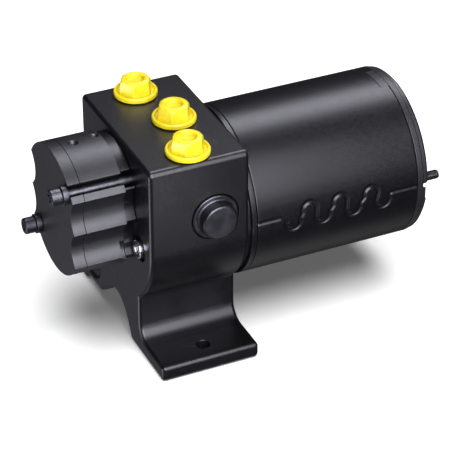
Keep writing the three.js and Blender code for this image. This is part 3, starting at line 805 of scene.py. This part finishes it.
def seam_line():
    """Points along the seam, as (x, height round the can) in millimetres."""
    spacing = 0.25
    corners = [(CAN_FRONT - 2, SEAM_START), (43.5, SEAM_START), (45.6, SEAM_START - 1.2)]
    for x, side in SEAM_KEYS:
        centre = (x, SEAM_RISE + side * KEY_REACH)
        start, end = (200, -20) if side > 0 else (160, 380)
        corners += arc(centre, KEY_RADIUS, start, end, 10)
    corners += [(102.2, SEAM_FINISH - 0.4), (103.6, SEAM_FINISH), (CAN_REAR + 2, SEAM_FINISH)]
    points = []
    for a, b in zip(corners, corners[1:]):
        count = max(1, round(math.dist(a, b) / spacing))
        for i in range(count):
            points.append((a[0] + (b[0] - a[0]) * i / count, a[1] + (b[1] - a[1]) * i / count))
    return np.array(points)


def motor_can():
    """The can, with its seam as a real groove on a fine grid."""
    depth, half_width, lip = 0.6, 0.5, 0.75
    below, above, spacing = -7.5, 11.3, 0.42
    line = seam_line()
    fine = np.arange(below, above, spacing) / CAN_RADIUS
    coarse = np.linspace(fine[-1], fine[0] + 2 * math.pi, 112)[1:-1]
    angles = np.concatenate([fine, coarse])

    def groove(along, radius, angles):
        """Depth of the seam's groove round one ring of the can's outside."""
        relief = np.zeros(len(angles))
        near = line[np.abs(line[:, 0] - along) < 2]
        if radius < CAN_RADIUS - 0.6 or len(near) == 0:
            return relief
        heights = angles[:len(fine)] * CAN_RADIUS
        gap = np.min(np.hypot(near[:, 0][:, None] - along, near[:, 1][:, None] - heights), axis=0)
        ease = np.clip((half_width + lip - gap) / lip, 0, 1)
        relief[:len(fine)] = -depth * ease * ease * (3 - 2 * ease)
        return relief

    edge = rounded([(CAN_FRONT, CAN_INNER), (CAN_FRONT, CAN_RADIUS), (CAN_FRONT + 2, CAN_RADIUS)], 0.5)
    other = [(CAN_FRONT + CAN_REAR - x, radius) for x, radius in reversed(edge)]
    first, last = edge[-2][0] + 0.3, other[1][0] - 0.3
    middle = [(x, CAN_RADIUS) for x in np.linspace(first, last, 208)]
    profile = edge[:-1] + middle + other[1:]
    can = turned(profile, "x", ON_AXIS, closed=True, angles=angles, relief=groove)
    notch = slab((CAN_REAR - 4.8, CAN_REAR + 1), (-9, 9), (AXIS_Z + 30, AXIS_Z + 50))
    keep(cut(can, [notch]), "motor_can", 50)


def cap_lug(inner):
    """The lug of the rear cap that fills the notch in the can."""
    start, end, outer = CAN_REAR - 4.4, CAN_REAR + 1, CAN_RADIUS - 0.2
    section = [(start, inner - 0.5), (start, outer), (end, outer), (end, inner - 0.5)]
    lug = turned(rounded(section, 0.3, closed=True), "x", ON_AXIS, MOTOR_SIDES, closed=True)
    span = slab((CAN_REAR - 5, CAN_REAR + 2), (-8.7, 8.7), (AXIS_Z, AXIS_Z + 50))
    return combine(lug, [span], "INTERSECT")


def tie_rod_room(sign):
    """Cutter for a tie rod's hole and the pocket of its nut."""
    floor, after, pocket = CAN_REAR + 0.6, CAP_END + 1, 5
    return turned([
        (108, 0), (108, TIE_HOLE), (floor, TIE_HOLE), (floor, pocket), (after, pocket), (after, 0),
    ], "x", tie_spot(sign), 48)


def rear_cap():
    """The motor's rear end: a bearing seat, a stepped rim, and a shallow ring on its face."""
    inner, rim, step = CAN_INNER - PRESS, CAN_RADIUS - 0.5, CAN_REAR + 3.3
    profile = rounded([
        (108, BEARING_RADIUS), (108, 14), (112.5, 14.6), (115, 32), (111, 34), (111, inner),
        (CAN_REAR + SEAT, inner), (CAN_REAR + SEAT, CAN_RADIUS), (CAN_REAR + 2.8, CAN_RADIUS),
        (step, rim), (CAP_END - 1.4, rim), (CAP_END, CAN_RADIUS - 1.9), (CAP_END, 30),
        (CAP_END - 0.8, 29.2), (CAP_END - 0.8, 15.8), (CAP_END, 15), (CAP_END, 0), (117, 0),
        (117, BEARING_RADIUS),
    ], 0.3, closed=True)
    cap = turned(profile, "x", ON_AXIS, MOTOR_SIDES, closed=True)
    join(cap, [cap_lug(inner)])
    relief = slab((step, CAP_END + 1), (-CAN_RADIUS - 1, -39.4), (AXIS_Z - 7.7, AXIS_Z + 2.6))
    cut(cap, [relief, tie_rod_room(-1), tie_rod_room(1)])
    keep(cap, "rear_end_cap", look="cap_paint")


def tie_rod(name, sign):
    """A long rod whose free end is threaded."""
    pitch, depth, thread_from, chamfer_width = 0.8, 0.42, CAP_END - 6, 0.6
    length = np.arange(thread_from, TIE_END - 0.05, pitch / 8)
    profile = [(13, 0), (13, TIE_RADIUS), (60, TIE_RADIUS)]
    profile += [(x, TIE_RADIUS) for x in length]
    profile += [(TIE_END, TIE_RADIUS - 0.5), (TIE_END, 0)]

    def thread(along, radius, angles):
        """A helical groove, deeper where the rod's end is chamfered."""
        if along < thread_from or radius < TIE_RADIUS:
            return 0 * angles
        turn = (along / pitch + angles / (2 * math.pi)) % 1
        chamfer = np.clip(along - (TIE_END - chamfer_width), 0, 1) * 0.6
        return -depth * np.abs(2 * turn - 1) - chamfer

    keep(turned(profile, "x", tie_spot(sign), 40, relief=thread), "tie_rod_" + name, 60)


def tie_rod_nut(name, sign):
    """A hexagon nut with its corners turned down."""
    start, end, spot = CAN_REAR + 0.7, CAN_REAR + 4.7, tie_spot(sign)
    nut = prism(polygon(6, 8, 0.15), start, end, "x", spot)
    cone = rounded([
        (start, 0), (start, 4.1), (start + 0.4, 4.7), (end - 0.4, 4.7), (end, 4.1), (end, 0),
    ], 0.05)
    combine(nut, [turned(cone, "x", spot, 72)], "INTERSECT")
    cut(nut, [drill(CAN_REAR, CAP_END + 1, TIE_RADIUS + PRESS, "x", spot, 40)])
    keep(nut, "tie_rod_nut_" + name, 30)


# Springs --------------------------------------------------------------------------------------
def coil(start, end, radius, wire, turns, axis, spot):
    """A round wire wound into a spring, with its two ends cut flat across the wire."""
    sides, steps = 12, turns * 36
    inset = math.copysign(wire, end - start)
    lead, first = end - start - 2 * inset, start + inset
    pitch = math.atan(lead / (2 * math.pi * turns * radius))
    vertices = []
    for k in range(steps + 1):
        turn = 2 * math.pi * turns * k / steps
        across = (math.cos(turn), math.sin(turn))
        for i in range(sides):
            angle = 2 * math.pi * i / sides
            out, up = radius + wire * math.cos(angle), wire * math.sin(angle)
            tilt = up * math.sin(pitch)
            vertices.append((
                first + lead * k / steps + up * math.cos(pitch),
                out * across[0] + tilt * across[1],
                out * across[1] - tilt * across[0],
            ))
    faces = [list(range(sides)), list(range(len(vertices) - sides, len(vertices)))]
    for k in range(steps):
        a, b = k * sides, (k + 1) * sides
        for i in range(sides):
            j = (i + 1) % sides
            faces.append([a + i, a + j, b + j, b + i])
    return solid(vertices, faces, axis, spot)


def spring(node, wound, axis, spot):
    """A coil kept as the shown piece of its node, with a mesh of its own.
    wound has what coil() takes before its axis."""
    obj = keep(coil(*wound, axis, spot), node, 60)
    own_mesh(obj)


def springs():
    """The springs of the two poppets and of the two brushes."""
    for name, sign in SIDES:
        wound = (*(sign * end for end in CHECK_SPRING), 3.3, 0.5, 4)
        spring("check_spring_" + name, wound, "y", AT_VALVE)
    for name, sign in ENDS:
        wound = (*(sign * end for end in BRUSH_SPRING), 2.2, 0.4, 5)
        spot = (BRUSH_X, 0, AXIS_Z)
        spring("brush_spring_" + name, wound, "z", spot)


# Studio ---------------------------------------------------------------------------------------
CAMERA_AZIMUTH, CAMERA_ELEVATION, CAMERA_DISTANCE = -24.76, 32.73, 1.12956
CAMERA_TARGET = Vector((-0.00025, 0, 0.0429))
CAMERA_LENS, CAMERA_SENSOR = 180.96, 36


def direction(azimuth, elevation):
    """Unit vector towards a place, with azimuth 0 in front and positive to the right."""
    a, e = math.radians(azimuth), math.radians(elevation)
    return Vector((math.sin(a) * math.cos(e), -math.cos(a) * math.cos(e), math.sin(e)))


def camera():
    """The camera at the main view."""
    data = bpy.data.cameras.new("camera")
    data.lens = CAMERA_LENS
    data.sensor_width = CAMERA_SENSOR
    data.clip_start = 0.05
    data.clip_end = 12
    obj = bpy.data.objects.new("camera", data)
    away = direction(CAMERA_AZIMUTH, CAMERA_ELEVATION)
    obj.location = CAMERA_TARGET + away * CAMERA_DISTANCE
    obj.rotation_euler = (-away).to_track_quat("-Z", "Y").to_euler()
    bpy.context.scene.collection.objects.link(obj)
    bpy.context.scene.camera = obj


def softbox(name, place, target, size, power, colour=(1, 1, 1)):
    """An area light at place that faces target, with its first side along x as far as it can be."""
    data = bpy.data.lights.new(name, "AREA")
    data.shape = "RECTANGLE"
    data.size, data.size_y = size
    data.energy = power
    data.color = colour
    obj = bpy.data.objects.new(name, data)
    back = (Vector(place) - Vector(target)).normalized()
    along = (Vector((1, 0, 0)) - back * back.x).normalized()
    turn = Matrix((along, back.cross(along), back)).transposed().to_4x4()
    obj.matrix_world = Matrix.Translation(place) @ turn
    obj.visible_camera = False
    bpy.context.scene.collection.objects.link(obj)
    return obj


def floor_paint():
    """A pale floor that glows a little, so that shadows on it stay soft."""
    finish = Finish("floor")
    blotches = finish.remap(finish.noise(40, 3), 0, 1)
    finish.colour(finish.blend(blotches, (0.93, 0.93, 0.93), (0.95, 0.95, 0.95)))
    finish.shader.inputs["Roughness"].default_value = 0.9
    finish.shader.inputs["Specular IOR Level"].default_value = 0.1
    finish.shader.inputs["Emission Color"].default_value = (1, 1, 1, 1)
    finish.shader.inputs["Emission Strength"].default_value = 0.1
    return finish.material


def pale_floor():
    """A disc that takes shadows and throws no light or reflection back on the unit."""
    work = bmesh.new()
    bmesh.ops.create_circle(work, cap_ends=True, segments=96, radius=6)
    mesh = bpy.data.meshes.new("floor")
    work.to_mesh(mesh)
    work.free()
    floor = bpy.data.objects.new("floor", mesh)
    floor.location.z = -0.0002
    bpy.context.scene.collection.objects.link(floor)
    floor.data.materials.append(floor_paint())
    floor.visible_glossy = False
    floor.visible_diffuse = False
    floor.visible_shadow = False
    return floor


def surround():
    """A world that looks white and lights the unit dimly, more from below than from above."""
    world = bpy.data.worlds.new("studio")
    bpy.context.scene.world = world
    world.use_nodes = True
    nodes, links = world.node_tree.nodes, world.node_tree.links
    shade = nodes["Background"]
    ramp = nodes.new("ShaderNodeValToRGB")
    below, above = ramp.color_ramp.elements
    below.color, below.position = (0.5, 0.5, 0.5, 1), 0.015
    above.color, above.position = (0.03, 0.03, 0.034, 1), 0.08
    height = nodes.new("ShaderNodeSeparateXYZ")
    rise = nodes.new("ShaderNodeMapRange")
    rise.inputs["From Min"].default_value = -1.0
    links.new(nodes.new("ShaderNodeTexCoord").outputs["Generated"], height.inputs[0])
    links.new(height.outputs["Z"], rise.inputs["Value"])
    links.new(rise.outputs["Result"], ramp.inputs["Fac"])
    links.new(ramp.outputs["Color"], shade.inputs["Color"])
    white = nodes.new("ShaderNodeBackground")
    white.inputs["Color"].default_value = (1, 1, 1, 1)
    mix = nodes.new("ShaderNodeMixShader")
    links.new(nodes.new("ShaderNodeLightPath").outputs["Is Camera Ray"], mix.inputs[0])
    links.new(shade.outputs[0], mix.inputs[1])
    links.new(white.outputs[0], mix.inputs[2])
    links.new(mix.outputs[0], nodes["World Output"].inputs["Surface"])


def only_on(light, name, pieces, on=True):
    """The light falls on these objects alone, or with on False on everything but these."""
    group = bpy.data.collections.new(name)
    for piece in pieces:
        group.objects.link(piece)
    light.light_linking.receiver_collection = group
    if not on:
        for part in group.collection_objects:
            part.light_linking.link_state = "EXCLUDE"


def floor_sun():
    """A wide sun that lights the floor and casts the unit's soft shadow on it."""
    data = bpy.data.lights.new("floor_sun", "SUN")
    data.energy = 5.2
    data.angle = math.radians(56)
    sun = bpy.data.objects.new("floor_sun", data)
    sun.rotation_euler = (math.radians(16), 0, 0)
    bpy.context.scene.collection.objects.link(sun)
    return sun


COOL = (0.9, 0.89, 1)
# Name, place, target, size and power of each light on the unit.
UNIT_LIGHTS = (
    ("back_top_light", (0.37, 0.39, 0.9), (0.02, 0, 0.065), (1.0, 0.42), 9),
    ("front_light", (-0.15, -0.66, 0.5), (-0.15, 0, 0.065), (0.8, 0.9), 19),
    ("low_front_light", (0.015, -0.235, -0.01), (-0.02, -0.042, 0.1), (0.05, 0.05), 0.03),
    ("low_back_light", (-0.22, 0.4, -0.22), (-0.04, 0, 0.06), (0.4, 0.4), 0.09),
    ("left_card", (-0.42, 0.02, -0.1), (0, 0, 0.11), (0.3, 0.25), 0.8),
)


def studio(plugs):
    """Floor, surround and lights. One light is for the floor alone and one for the yellow plugs."""
    floor = pale_floor()
    surround()
    for name, *setting in UNIT_LIGHTS:
        only_on(softbox(name, *setting, COOL), name + "_group", [floor], on=False)
    card = softbox("plug_card", (-0.42, 0.02, -0.06), (0, 0, 0.11), (0.3, 0.3), 3)
    only_on(card, "plug_card_group", plugs)
    only_on(floor_sun(), "floor_sun_group", [floor])
    bpy.context.scene.view_settings.view_transform = "Standard"
    bpy.context.scene.view_settings.look = "None"


# The whole ------------------------------------------------------------------------------------
SLOT_OF = {row["node"]: row["material_slot"] for row in frame["record"]["subparts"]}
BODIES = frame["record"]["behaviour"]["bodies"]
BODY_OF = {node: body for body, nodes in BODIES.items() for node in nodes}
MATERIALS = make_materials()


def finish_inside():
    """The pieces inside keep their CAD shapes and take a finish only."""
    for node, obj in frame["nodes"].items():
        if not obj.hide_render:
            look = "turned_copper" if node == "commutator" else SLOT_OF[node]
            obj.data.materials.clear()
            obj.data.materials.append(MATERIALS[look])


camera()
studio([port_plug(port, x, y) for port, (x, y, _) in PORTS.items()])
valve_block()
gallery_plug()
for side, outward in SIDES:
    side_plug(side, outward)
pump_end_cover()
pump_body()
pump_port_plate()
for end, up in ENDS:
    pump_screw(end, up)
    pump_washer(end, up)
front_bell()
motor_can()
rear_cap()
springs()
for side, outward in SIDES:
    tie_rod(side, outward)
    tie_rod_nut(side, outward)
finish_inside()
